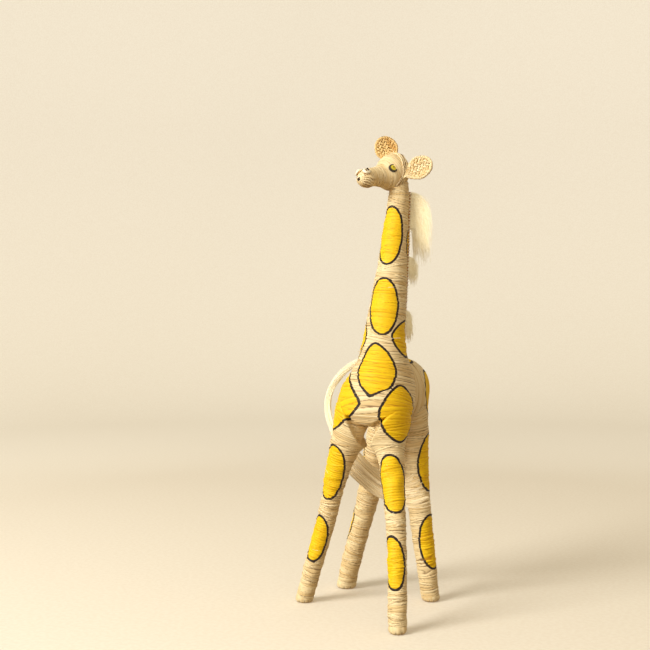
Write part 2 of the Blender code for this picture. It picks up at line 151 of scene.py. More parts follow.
# Over a shoulder, about an upright axis at (x, y): the middle's height and angle, half width and half
# length, roundness and lean as above, and how far from the axis the width is measured
SHOULDER_SPOTS = {
    "left": ((8.0, 2.0), 175.4, 50.0, 18.5, 23.4, 1.7, 2.0, 26.0),
    "right": ((-9.0, 2.0), 184.0, -60.0, 29.0, 25.0, 1.4, 6.0, 24.0),
}
# On the torso and haunches: which way it faces, its middle, the two axes it spans, half sizes, roundness
FLANK_SPOTS = [
    ((1, 0, 0), (28.0, 62.5, 188.5), (0, 1, 0), (0, 0, 1), 17.2, 19.5, 1.9),
    ((-1, 0, 0), (-28.0, 50.0, 189.0), (0, 1, 0), (0, 0, 1), 15.0, 18.5, 1.9),
    ((0, 0, 1), (4.0, 43.0, 220.0), (1, 0, 0), (0, 1, 0), 12.0, 15.0, 2.0),
    ((0, 1, 0), (7.0, 82.0, 184.0), (1, 0, 0), (0, 0, 1), 8.5, 10.5, 2.0),
]
# How far from a spot's edge, in mm, a distance is still worked out
FAR = 9.0
# Where limbs join: how wide the blend is, the most that a wrap rises to meet another, and how far it
# sinks once it is under the other, all in mm
REACH = 17.0
MOST_RISE = 14.0
SINK = 1.6

# ---- small maths


def unit(vectors):
    vectors = np.asarray(vectors, float)
    return vectors / np.maximum(np.linalg.norm(vectors, axis=-1, keepdims=True), 1e-12)


def smoothstep(low, high, value):
    share = np.clip((value - low) / (high - low), 0, 1)
    return share * share * (3 - 2 * share)


def smooth_min(a, b, reach):
    near = np.maximum(reach - np.abs(a - b), 0)
    return np.minimum(a, b) - near * near / (4 * reach)


def catmull_rom(rows, steps):
    """Points on the smooth curve through the rows, steps of them to each gap."""
    rows = np.asarray(rows, float)
    rows = np.vstack([2 * rows[0] - rows[1], rows, 2 * rows[-1] - rows[-2]])
    t = (np.arange(steps) / steps)[:, None]
    out = []
    for i in range(1, len(rows) - 2):
        a, b, c, d = rows[i - 1 : i + 3]
        bend = (2 * a - 5 * b + 4 * c - d) * t**2
        twist = (3 * b - a - 3 * c + d) * t**3
        out.append(0.5 * (2 * b + (c - a) * t + bend + twist))
    out.append(rows[-2:-1])
    return np.vstack(out)


def length_along(points):
    """The distance from the first point to each point of a line."""
    gaps = np.linalg.norm(np.diff(points[:, :3], axis=0), axis=1)
    return np.concatenate([[0], np.cumsum(gaps)])


def round_angles(count):
    """Even angles once round, in radians."""
    return np.arange(count) / count * TURN


def rows_at(places, known, rows):
    """Each column of rows, whose own places are known, read at other places."""
    return np.stack([np.interp(places, known, column) for column in rows.T], axis=-1)


def value_noise(x, seed):
    """Smooth noise along one number, from 0 to 1."""
    table = np.random.default_rng(seed).random(512)
    cell = np.floor(x).astype(int)
    share = x - cell
    share = share * share * (3 - 2 * share)
    return table[cell % 512] * (1 - share) + table[(cell + 1) % 512] * share


def angle_from(angles, middle):
    """Each angle less middle, in radians from -pi to pi."""
    return (angles - middle + math.pi) % TURN - math.pi


class Path:
    """A limb's centre line at even steps, with its radius and a frame. Its s is 0 at the first station."""

    def __init__(self, rows, spacing, front, side, before=(), after=()):
        steps = 16
        dense = catmull_rom([*before, *rows, *after], steps)
        length = length_along(dense)
        even = np.linspace(0, length[-1], int(length[-1] / spacing) + 2)
        self.set_rows(rows_at(even, length, dense), even - length[len(before) * steps], front, side)

    def set_rows(self, table, s, front, side):
        self.s = s
        self.points = table[:, :3]
        self.radius = np.maximum(table[:, 3], 0.05)
        self.reference = (front, side)
        self.tangent = unit(np.gradient(self.points, axis=0))
        front = np.array(front, float) - (self.tangent @ front)[:, None] * self.tangent
        self.front = unit(front)
        side = np.array(side, float) - (self.tangent @ side)[:, None] * self.tangent
        self.side = unit(side - (side * self.front).sum(1, keepdims=True) * self.front)

    def upto(self, last):
        """The same path, ended after that row."""
        table = np.column_stack([self.points, self.radius])[:last]
        short = Path.__new__(Path)
        short.set_rows(table, self.s[:last], *self.reference)
        return short

    def distance(self, points):
        """How far outside this limb each point is, in mm."""
        centres = self.points[::3]
        radius = self.radius[::3]
        flat = points.reshape(-1, 3)
        best = np.zeros(len(flat))
        for start in range(0, len(flat), 20000):
            part = flat[start : start + 20000]
            square = (part**2).sum(1)[:, None] + (centres**2).sum(1)[None] - 2 * part @ centres.T
            best[start : start + 20000] = (np.sqrt(np.maximum(square, 0)) - radius).min(1)
        return best.reshape(points.shape[:-1])

    def at(self, s, degrees, lift=0.0):
        """The surface point at a distance along and an angle, and the direction outward there."""
        angle = np.radians(degrees)
        pick = rows_at(s, self.s, np.hstack([self.points, self.front, self.side]))
        radius = np.interp(s, self.s, self.radius)
        out = pick[..., 3:6] * np.cos(angle)[..., None] + pick[..., 6:9] * np.sin(angle)[..., None]
        out = unit(out)
        return pick[..., :3] + out * np.asarray(radius + lift)[..., None], out


# ---- meshes

# How far apart in the grain's pattern two strands of a piece are, along and across, in mm
STRAND_GAP = (37.7, 5.3)


def make_piece(name, verts, quads, tris, uv, values, look, replaced=()):
    """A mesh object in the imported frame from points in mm, riding on the one body."""
    mesh = bpy.data.meshes.new(name)
    placed = ((verts + SHIFT) * MM).astype(np.float32)
    corners = placed[quads].astype(float)
    volume = np.einsum("ij,ij->i", corners[:, 0], np.cross(corners[:, 1], corners[:, 2])).sum()
    volume += np.einsum("ij,ij->i", corners[:, 0], np.cross(corners[:, 2], corners[:, 3])).sum()
    if volume < 0:
        quads = quads[:, ::-1]
        tris = tris[:, ::-1]
        uv = np.concatenate([uv[: len(quads) * 4].reshape(-1, 4, 2)[:, ::-1].reshape(-1, 2),
                             uv[len(quads) * 4 :].reshape(-1, 3, 2)[:, ::-1].reshape(-1, 2)])
    loops = np.concatenate([quads.ravel(), tris.ravel()]).astype(np.int32)
    starts = np.concatenate([np.arange(len(quads)) * 4, len(quads) * 4 + np.arange(len(tris)) * 3])
    mesh.vertices.add(len(placed))
    mesh.vertices.foreach_set("co", placed.ravel())
    mesh.loops.add(len(loops))
    mesh.loops.foreach_set("vertex_index", loops)
    mesh.polygons.add(len(starts))
    mesh.polygons.foreach_set("loop_start", starts.astype(np.int32))
    mesh.update(calc_edges=True)
    mesh.polygons.foreach_set("use_smooth", np.ones(len(starts), bool))
    layer = mesh.uv_layers.new(name="strand")
    layer.data.foreach_set("uv", uv.astype(np.float32).ravel())
    for key, numbers in values.items():
        attribute = mesh.attributes.new(key, "FLOAT", "POINT")
        attribute.data.foreach_set("value", numbers.astype(np.float32).ravel())
    mesh.materials.append(look)
    mesh.validate()
    piece = bpy.data.objects.new(name, mesh)
    bpy.context.scene.collection.objects.link(piece)
    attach(piece, "root")
    if replaced:
        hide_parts(*replaced)


def ring_surface(name, rings, u, v, look, replaced=(), tone=0.5, ridge=1.0, spot=FAR):
    """A closed surface through rings of points, (rings, columns, 3), with a point to close each end."""
    count, columns = rings.shape[:2]
    u, v = (np.broadcast_to(part, (count, columns)) for part in (u, v))
    index = np.arange(count * columns).reshape(count, columns)
    nxt = np.roll(index, -1, axis=1)
    quads = np.stack([index[:-1], nxt[:-1], nxt[1:], index[1:]], axis=-1).reshape(-1, 4)
    first, last = count * columns, count * columns + 1
    start_fan = np.stack([np.full(columns, first), nxt[0], index[0]], axis=-1)
    end_fan = np.stack([np.full(columns, last), index[-1], nxt[-1]], axis=-1)
    tris = np.vstack([start_fan, end_fan])
    verts = np.vstack([rings.reshape(-1, 3), rings[0].mean(0), rings[-1].mean(0)])
    wide = np.concatenate([u, u[:, -1:] + (u[:, -1:] - u[:, -2:-1])], axis=1)
    tall = np.concatenate([v, v[:, :1]], axis=1)
    grid = np.stack([wide, tall], axis=-1)
    corner_uv = [grid[:-1, :-1], grid[:-1, 1:], grid[1:, 1:], grid[1:, :-1]]
    quad_uv = np.stack(corner_uv, axis=2).reshape(-1, 2)
    start_uv = np.stack([grid[0, :-1], grid[0, 1:], grid[0, :-1]], axis=1).reshape(-1, 2)
    end_uv = np.stack([grid[-1, :-1], grid[-1, :-1], grid[-1, 1:]], axis=1).reshape(-1, 2)
    values = {}
    for key, numbers in (("tone", tone), ("ridge", ridge), ("spot", spot)):
        numbers = np.broadcast_to(numbers, (count, columns))
        values[key] = np.append(numbers.ravel(), [numbers[0].mean(), numbers[-1].mean()])
    uv = np.vstack([quad_uv, start_uv, end_uv])
    make_piece(name, verts, quads, tris, uv, values, look, replaced)


def tubes(
    name, lines, width, look, replaced=(), thick=None, facing=None, sides=5, tone=None, edge=0.0
):
    """Many strands in one piece: lines is (strands, points, 3), width and thick are half sizes in mm.

    edge is how much painted shade darkens the two sides of a strand, as where it lies against its
    neighbours.
    """
    lines = np.asarray(lines, float)
    count, steps = lines.shape[:2]
    width = np.broadcast_to(np.asarray(width, float), (count, steps))
    thick = width if thick is None else np.broadcast_to(np.asarray(thick, float), (count, steps))
    tangent = unit(np.gradient(lines, axis=1))
    if facing is None:
        lean = np.array([0.31, 0.72, 0.62])
        facing = np.broadcast_to(lean, lines.shape)
    facing = unit(facing - (facing * tangent).sum(-1, keepdims=True) * tangent)
    across = np.cross(tangent, facing)
    angles = round_angles(sides)
    ring = across[:, :, None] * (np.cos(angles)[:, None] * width[:, :, None, None])
    ring = ring + facing[:, :, None] * (np.sin(angles)[:, None] * thick[:, :, None, None])
    ring = lines[:, :, None] + ring
    index = np.arange(count * steps * sides).reshape(count, steps, sides)
    nxt = np.roll(index, -1, axis=2)
    quads = np.stack([index[:, :-1], nxt[:, :-1], nxt[:, 1:], index[:, 1:]], axis=-1).reshape(-1, 4)
    base = count * steps * sides
    ends = base + np.arange(2 * count).reshape(count, 2)
    fan_a = np.stack([np.repeat(ends[:, :1], sides, 1), nxt[:, 0], index[:, 0]], axis=-1)
    fan_b = np.stack([np.repeat(ends[:, 1:], sides, 1), index[:, -1], nxt[:, -1]], axis=-1)
    tris = np.vstack([fan_a.reshape(-1, 3), fan_b.reshape(-1, 3)])
    tips = np.stack([lines[:, 0], lines[:, -1]], axis=1).reshape(-1, 3)
    verts = np.vstack([ring.reshape(-1, 3), tips])
    gaps = np.linalg.norm(np.diff(lines, axis=1), axis=-1)
    along = np.concatenate([np.zeros((count, 1)), np.cumsum(gaps, axis=1)], axis=1)
    along = along + np.arange(count)[:, None] * STRAND_GAP[0]
    around = np.linspace(0, 1, sides + 1)[None, None] * (width[..., None] + thick[..., None]) * math.pi
    u = np.broadcast_to(along[..., None], around.shape)
    grid = np.stack([u, around + np.arange(count)[:, None, None] * STRAND_GAP[1]], axis=-1)
    corner_uv = [grid[:, :-1, :-1], grid[:, :-1, 1:], grid[:, 1:, 1:], grid[:, 1:, :-1]]
    quad_uv = np.stack(corner_uv, axis=3).reshape(-1, 2)
    fan_uv = np.concatenate([np.repeat(end, sides * 3, 2) for end in (grid[:, :1, :1], grid[:, -1:, :1])])
    uv = np.vstack([quad_uv, fan_uv.reshape(-1, 2)])
    tone = np.full(count, 0.5) if tone is None else tone
    tones = np.concatenate([np.repeat(tone, steps * sides), np.repeat(tone, 2)])
    # Painted shade on the two sides of each strand
    ridges = 1 - edge * np.abs(np.cos(angles)) ** 3
    ridges = np.concatenate([np.tile(ridges, count * steps), np.ones(2 * count)])
    values = {"tone": tones, "ridge": ridges, "spot": np.full(len(verts), FAR)}
    make_piece(name, verts, quads, tris, uv, values, look, replaced)


# ---- materials


def colour(red, green, blue):
    """A display colour from 0 to 255 as Blender's linear one."""
    parts = []
    for part in (red, green, blue):
        share = part / 255
        parts.append(share / 12.92 if share <= 0.04045 else ((share + 0.055) / 1.055) ** 2.4)
    return (*parts, 1.0)


class Nodes:
    """The nodes of a material or a world, and the short calls that add to them."""

    def __init__(self, owner):
        owner.use_nodes = True
        self.tree = owner.node_tree

    def add(self, kind, inputs=None, output=0, **settings):
        made = self.tree.nodes.new(kind)
        for key, value in settings.items():
            setattr(made, key, value)
        for key, value in (inputs or {}).items():
            self.put(made.inputs[key], value)
        return made.outputs[output]

    def put(self, socket, value):
        """Links another node's output to a socket or sets it. A colour is given as a display colour."""
        if isinstance(value, bpy.types.NodeSocket):
            self.tree.links.new(value, socket)
        else:
            socket.default_value = colour(*value) if socket.type == "RGBA" else value

    def math(self, operation, a, b=0.0):
        return self.add("ShaderNodeMath", {0: a, 1: b}, operation=operation)

    def spread(self, value, low, high, to_low=0.0, to_high=1.0):
        """value taken smoothly from one range to another."""
        inputs = {0: value, 1: low, 2: high, 3: to_low, 4: to_high}
        return self.add("ShaderNodeMapRange", inputs, interpolation_type="SMOOTHSTEP")

    def mix(self, share, a, b):
        return self.add("ShaderNodeMix", {0: share, 6: a, 7: b}, 2, data_type="RGBA")

    def attribute(self, name):
        return self.add("ShaderNodeAttribute", output=2, attribute_name=name)

    def stretched_noise(self, scale, detail=4.0):
        """Noise drawn out along the strand: scale is per mm along it and across it."""
        place = self.add("ShaderNodeUVMap", uv_map="strand")
        place = self.add("ShaderNodeMapping", {0: place, 3: (*scale, 1.0)})
        inputs = {"Vector": place, "Scale": 1.0, "Detail": detail, "Roughness": 0.6}
        return self.add("ShaderNodeTexNoise", inputs)


class Look(Nodes):
    """A material and its shader."""

    def __init__(self, name):
        self.material = bpy.data.materials.new(name)
        super().__init__(self.material)
        self.shader = self.tree.nodes["Principled BSDF"]

    def object_noise(self, scale, detail):
        """Even noise through a piece: scale is per metre."""
        inputs = {"Vector": self.object_place(), "Scale": scale, "Detail": detail}
        return self.add("ShaderNodeTexNoise", inputs)

    def object_place(self):
        return self.add("ShaderNodeTexCoord", output=3)

    def finish(self, base, rough, height, strength, depth):
        """Sets the colour, the roughness and a bump of depth mm, and gives the material."""
        self.put(self.shader.inputs["Base Color"], base)
        self.put(self.shader.inputs["Roughness"], rough)
        raised = {"Strength": strength, "Distance": depth * MM, "Height": height}
        self.put(self.shader.inputs["Normal"], self.add("ShaderNodeBump", raised))
        return self.material


def fibre_look(name, pale, warm, groove_shade_and_grain, grain=0.5, bump=0.35, painted=False):
    """Dried leaf fibre: each strand its own tone, fine lengthwise grain, and painted shade that darkens the
    grooves where strands meet.
    """
    look = Look(name)
    tone = look.attribute("tone")
    ridge = look.attribute("ridge")
    fine = look.stretched_noise((0.10, 4.2))
    streak = look.stretched_noise((0.035, 1.1), 3.0)
    body = look.mix(look.spread(tone, 0.1, 0.95), pale, warm)
    stained = look.mix(look.spread(streak, 0.52, 0.78, 0.0, grain), body, warm)
    dark = look.mix(look.spread(fine, 0.56, 0.74, 0.0, 0.45 * grain), stained, groove_shade_and_grain)
    # Painted shade: the lower the ridge share, the more the colour goes to the dark gap colour, as shade in
    # the grooves
    groove_shade_share = look.spread(ridge, 0.0, 0.9, 0.85, 0.0)
    base = look.mix(groove_shade_share, dark, groove_shade_and_grain)
    if painted:
        wobble = look.math("MULTIPLY", look.math("SUBTRACT", streak, 0.5), 1.2)
        edge = look.math("ADD", look.attribute("spot"), wobble)
        edge = look.math("ADD", edge, look.math("MULTIPLY", look.math("SUBTRACT", tone, 0.5), 0.7))
        inside = look.spread(edge, -0.12, 0.12, 1.0, 0.0)
        line = look.spread(look.math("ABSOLUTE", edge), 0.88, 1.15, 1.0, 0.0)
        broken = look.spread(ridge, 0.0, 0.3, 0.5, 1.0)
        worn = look.spread(streak, 0.62, 0.74, 1.0, 0.45)
        line = look.math("MULTIPLY", look.math("MULTIPLY", line, broken), worn)
        yellow = look.mix(tone, (246, 206, 8), (238, 190, 6))
        yellow = look.mix(look.spread(streak, 0.45, 0.75, 0.0, 0.5), yellow, (230, 174, 4))
        # Painted shade: the yellow darkens in the grooves between strands
        yellow = look.mix(look.spread(ridge, 0.0, 0.85, 0.7, 0.0), yellow, (176, 108, 6))
        yellow = look.mix(look.spread(fine, 0.66, 0.8, 0.0, 0.5), yellow, (205, 140, 10))
        base = look.mix(inside, base, yellow)
        base = look.mix(line, base, (26, 10, 5))
    look.shader.inputs["Specular IOR Level"].default_value = 0.35
    height = look.math("ADD", fine, look.math("MULTIPLY", streak, 0.6))
    return look.finish(base, look.spread(fine, 0.3, 0.75, 0.5, 0.78), height, bump, 0.2)


def steel_look():
    """Drawn steel wire: fine scratches and a few dull patches."""
    look = Look("drawn_steel")
    fine = look.object_noise(900.0, 4.0)
    patch = look.object_noise(120.0, 3.0)
    shade = look.mix(look.spread(patch, 0.4, 0.7), (176, 174, 170), (120, 112, 104))
    look.shader.inputs["Metallic"].default_value = 1.0
    return look.finish(shade, look.spread(fine, 0.3, 0.7, 0.28, 0.55), fine, 0.2, 0.05)


def straw_look():
    """Packed straw: blunt short stems of several tones."""
    look = Look("packed_straw")
    stretched = look.add("ShaderNodeMapping", {0: look.object_place(), 3: (900.0, 900.0, 110.0)})
    stems = look.add("ShaderNodeTexVoronoi", {"Vector": stretched, "Scale": 1.0}, 1)
    tone = look.add("ShaderNodeSeparateColor", {0: stems})
    grain = look.add("ShaderNodeTexNoise", {"Vector": stretched, "Scale": 2.5, "Detail": 4.0})
    shade = look.mix(tone, (214, 184, 116), (160, 122, 62))
    shade = look.mix(look.spread(grain, 0.5, 0.7, 0.0, 0.6), shade, (110, 78, 36))
    return look.finish(shade, look.spread(grain, 0.3, 0.7, 0.7, 0.95), grain, 0.5, 0.3)


def eye_look():
    """A painted eye: its spot attribute is the distance from the middle, 0 to 1 at the yellow's edge."""
    look = Look("painted_eye")
    out = look.attribute("spot")
    grain = look.stretched_noise((0.5, 1.6))
    yellow = look.mix(look.spread(grain, 0.4, 0.7), (232, 214, 60), (214, 190, 34))
    pupil = look.mix(look.spread(out, 0.18, 0.34), (120, 104, 20), yellow)
    ring = look.mix(look.spread(out, 0.86, 1.0), pupil, (46, 34, 20))
    return look.finish(ring, look.spread(grain, 0.3, 0.7, 0.4, 0.6), grain, 0.3, 0.2)


def stage_look():
    """Plain pale studio paper with a very faint tooth and a faint glow that evens out its light."""
    look = Look("studio_paper")
    tooth = look.object_noise(260.0, 3.0)
    shade = look.mix(look.spread(tooth, 0.35, 0.65), (238, 230, 212), (234, 225, 206))
    look.put(look.shader.inputs["Base Color"], shade)
    look.put(look.shader.inputs["Roughness"], look.spread(tooth, 0.3, 0.7, 0.85, 0.95))
    look.put(look.shader.inputs["Emission Color"], shade)
    look.shader.inputs["Emission Strength"].default_value = 0.12
    return look.material


RAFFIA = fibre_look("raffia_strands", (240, 220, 172), (222, 192, 134), (98, 58, 20), painted=True)
FACE = fibre_look("raffia_fine", (242, 223, 178), (228, 200, 144), (132, 90, 38), grain=0.4, bump=0.25)
PLAIT = fibre_look("plaited_strands", (232, 200, 136), (202, 156, 84), (112, 68, 26), grain=0.3)
# Dark brown that paints the shade in the gaps behind the ear plaits and between the head's band strands
GAP_SHADE = fibre_look("painted_gap_shade", (150, 104, 50), (112, 72, 30), (70, 42, 16))
LOOSE = fibre_look("loose_fibres", (252, 244, 216), (234, 218, 174), (178, 150, 98), bump=0.04)
TASSEL = fibre_look(
    "tassel_strips", (244, 228, 190), (222, 200, 152), (150, 118, 70), grain=0.4, bump=0.08
)
# Brown: on the mane seam it is painted shade; it also colours the nostrils' tan middles
RIDGE = fibre_look("mane_seam", (196, 138, 74), (164, 104, 46), (92, 54, 22), grain=0.6)
DARK = fibre_look("dark_paint", (58, 40, 22), (38, 26, 16), (22, 14, 8), grain=0.4)
STEEL = steel_look()
STRAW = straw_look()
EYE = eye_look()

# ---- the limbs' centre lines

UP = (0.0, 0.0, 1.0)
AHEAD = (0.0, -1.0, 0.0)
LEFT = (1.0, 0.0, 0.0)
head_axis = unit(np.array(HEAD[-1][:3]) - np.array(HEAD[0][:3]))
head_up = unit(np.array(UP) - head_axis[2] * head_axis)
head_left = -np.cross(head_axis, head_up)
PATHS = {
    "column": Path(COLUMN, 0.40, AHEAD, LEFT),
    "torso": Path(TORSO, 0.42, UP, LEFT, before=[(0, -9.6, 189, 1)], after=[(0, 84.6, 188.6, 1)]),
    "head": Path(HEAD, 0.34, tuple(head_up), tuple(head_left), HEAD_BACK, HEAD_NOSE),
    **{leg: Path(rows, 0.40, AHEAD, LEFT) for leg, rows in LEGS.items()},
}
FOOT_HEIGHT = 4.0
for leg_name in LEGS:
    leg = PATHS[leg_name]
    lowest = leg.points[:, 2] - leg.radius * np.sqrt(1 - leg.tangent[:, 2] ** 2)
    PATHS[leg_name] = leg.upto(int(np.argmax(lowest < FOOT_HEIGHT)))

# ---- wraps


def ellipse_distance(across, along, half_width, half_length, power):
    """About how far outside a rounded diamond or ellipse a point is, in mm."""
    x = np.abs(across) / half_width
    y = np.abs(along) / half_length
    q = np.maximum((x**power + y**power) ** (1 / power), 0.05)
    slope_x = (x / q) ** (power - 1) / half_width
    slope_y = (y / q) ** (power - 1) / half_length
    distance = (q - 1) / np.maximum(np.hypot(slope_x, slope_y), 1e-4)
    return np.clip(distance, -FAR, FAR)


def spot_distance(limb, points, s, angles, radius):
    """How far outside the nearest painted spot each point of a limb is."""
    best = np.full(s.shape, FAR)
    for middle, degrees, wide, tall, power, lean, bow in SPOTS[limb]:
        along = s - middle
        turned = np.radians(degrees + lean * along / tall + bow * (along / tall) ** 2)
        across = angle_from(angles, turned) * radius
        best = np.minimum(best, ellipse_distance(across, along, wide, tall, power))
    for side, (axis, height, degrees, wide, tall, power, lean, reference) in SHOULDER_SPOTS.items():
        if limb not in ("column", "torso", "front_" + side):
            continue
        along = points[..., 2] - height
        turned = math.radians(degrees) + math.radians(lean) * along / tall
        seen = np.arctan2(points[..., 0] - axis[0], axis[1] - points[..., 1])
        across = angle_from(seen, turned) * reference
        best = np.minimum(best, ellipse_distance(across, along, wide, tall, power))
    if limb in ("torso", "rear_left", "rear_right"):
        for facing, middle, first, second, wide, tall, power in FLANK_SPOTS:
            offset = points - np.array(middle)
            far_side = (points - np.array([0.0, 45.0, 190.0])) @ np.array(facing, float) < 6
            found = ellipse_distance(offset @ np.array(first), offset @ np.array(second), wide, tall, power)
            best = np.minimum(best, np.where(far_side, FAR, found))
    return best


def settle(base, radial, others, bias):
    """How far each surface point moves outward so that the limb flows into the others it joins."""
    out = np.zeros(base.shape[:-1])
    nearest = out
    for _ in range(8):
        spot = base + radial * out[..., None]
        field = out.copy()
        nearest = np.full(base.shape[:-1], 1e9)
        for other in others:
            apart = other.distance(spot)
            nearest = np.minimum(nearest, apart)
            field = smooth_min(field, apart, REACH)
        out = np.clip(out - 0.85 * field, -1.0, MOST_RISE)
    under = smoothstep(bias, bias + 2.2, out - nearest)
    return out * (1 - under) - SINK * under


def lumps(s, angles, seed, depth):
    """Soft unevenness of the packing under the wrap."""
    rng = np.random.default_rng(seed)
    total = np.zeros(s.shape)
    for _ in range(10):
        turns = rng.integers(0, 4)
        wave = TURN / rng.uniform(9, 30)
        total += np.sin(turns * angles + wave * s + rng.uniform(0, TURN)) * rng.uniform(0.3, 1)
    return total * depth / 3


def strands(s, angles, seed, pitch, depth, crossings, slope):
    """The wound strands of a limb: how far each point stands out, its ridge share, which sets painted shade
    in the grooves, and its tone.
    """
    rng = np.random.default_rng(seed)
    turns = s / pitch
    for wave in (7.0, 13.0, 29.0, 61.0):
        drift = 0.05 * wave / pitch * np.sin(TURN * s / wave + rng.uniform(0, TURN))
        turns = turns + drift * rng.uniform(0.4, 1)
    wander = np.zeros(s.shape)
    for around in (1, 2, 3, 5):
        wave = TURN / rng.uniform(8, 24)
        wander += np.sin(around * angles + wave * s + rng.uniform(0, TURN)) / around
    phase = turns + angles / TURN + 0.26 * wander
    number = np.floor(phase)
    share = phase - number
    travelled = angles / TURN - number
    tone = value_noise(travelled * 1.9, seed + 1) * 0.7 + value_noise(travelled * 7.3, seed + 2) * 0.3
    lift = value_noise(travelled * 2.7, seed + 3)
    split = 0.35 + 0.3 * value_noise(travelled * 1.3, seed + 4)
    crown = 1 - np.abs(2 * share - 1) ** 2.7
    # Painted shade: how dark each groove is drawn, different from groove to groove
    groove_shade_strength = 0.42 + 0.58 * smoothstep(0.25, 0.75, value_noise(travelled * 1.6, seed + 5))
    seam = 1 - np.exp(-(((share - split) / 0.07) ** 2)) * smoothstep(0.45, 0.8, lift)
    height = depth * (0.62 + 0.62 * lift) * crown * (0.8 + 0.2 * seam)
    height += depth * 0.30 * (share - 0.5) * crown
    # Painted shade: the ridge share falls in the grooves and along a strand's split
    ridge = 1 - groove_shade_strength * (1 - smoothstep(0.05, 0.70, crown))
    ridge = np.minimum(ridge, 0.5 + 0.5 * seam)
    length = s.max() - s.min()
    for _ in range(int(length / crossings)):
        middle = rng.uniform(s.min(), s.max())
        facing = rng.uniform(0, TURN)
        span = rng.uniform(0.9, 3.2)
        half = rng.uniform(0.32, 0.5) * pitch
        pull = rng.normal(0, slope)
        bow = rng.normal(0, 0.5 * slope)
        shade = rng.uniform(0, 1)
        turned = angle_from(angles, facing)
        offset = (s - middle - pull * turned - bow * turned**2) / half
        fade = smoothstep(span, span - 0.25, np.abs(turned))
        body = np.clip(1 - np.abs(offset) ** 3, 0, 1) * fade
        over = np.clip(body * 3, 0, 1)
        height = height * (1 - 0.6 * over) + body * depth * 1.25
        tone = tone * (1 - over) + shade * over
        ridge = ridge * (1 - over) + over
        # A painted shadow line along both sides of a crossing strand
        ridge = ridge * (1 - 0.9 * fade * np.exp(-(((np.abs(offset) - 1.12) / 0.22) ** 2)))
    return height, ridge, tone


def wrap(
    limb, name, columns, pitch, depth, others, bias, seed, crossings, slope, look, replaced, lump=0.3
):
    """A limb's strand wrap as one closed piece, and its last ring and tones, for a foot to start from.

    pitch is between turns and depth is how far a strand stands out, in mm. bias is how far the limb may
    lie under another before it sinks. There is a crossing strand every so many mm, as steep as slope.
    """
    path = PATHS[limb]
    angle = round_angles(columns)
    s, angles = np.meshgrid(path.s, angle, indexing="ij")
    radius = np.broadcast_to(path.radius[:, None], s.shape)
    radial = path.front[:, None] * np.cos(angles)[..., None] + path.side[:, None] * np.sin(angles)[..., None]
    base = path.points[:, None] + radial * radius[..., None]
    out = np.zeros(s.shape)
    near = np.zeros(len(path.s), bool)
    for other in others:
        near |= other.distance(path.points) < path.radius + REACH + 1
    if near.any():
        out[near] = settle(base[near], radial[near], others, bias)
    fine, ridge, tone = strands(s, angles, seed, pitch, depth, crossings, slope)
    ends = smoothstep(0, 2.5, path.radius)[:, None]
    lumpy = lumps(s, angles, seed + 9, lump)
    rings = base + radial * (out + ends * (fine + lumpy - 0.7 * depth))[..., None]
    spot = spot_distance(limb, base + radial * out[..., None], s, angles, radius)
    u = angles * radius.mean()
    ring_surface(name, rings, u, s, look, replaced, tone, ridge, spot)
    return rings[-1], tone[-1]


column, torso, head = PATHS["column"], PATHS["torso"], PATHS["head"]
front_legs = [PATHS["front_left"], PATHS["front_right"]]
rear_legs = [PATHS["rear_left"], PATHS["rear_right"]]
near_torso = [column, *rear_legs, *front_legs]
near_column = [torso, *front_legs]
wrap("column", "neck_strands", 104, 2.15, 0.50, near_column, 0.0, 11, 3.4, 1.4, RAFFIA, ["neck_wrap"])
wrap("torso", "torso_strands", 104, 2.1, 0.34, near_torso, 0.2, 21, 5.0, 1.8, RAFFIA, ["torso_wrap"])
wrap("head", "head_strands", 88, 1.5, 0.20, [], 0.0, 31, 3.4, 0.8, FACE, ["head_wrap"], 0.15)

FOOT_ROUND = 2.9
FOLDS = 11
FOLD_DEPTH = 0.35
FOOT_ROWS = 7


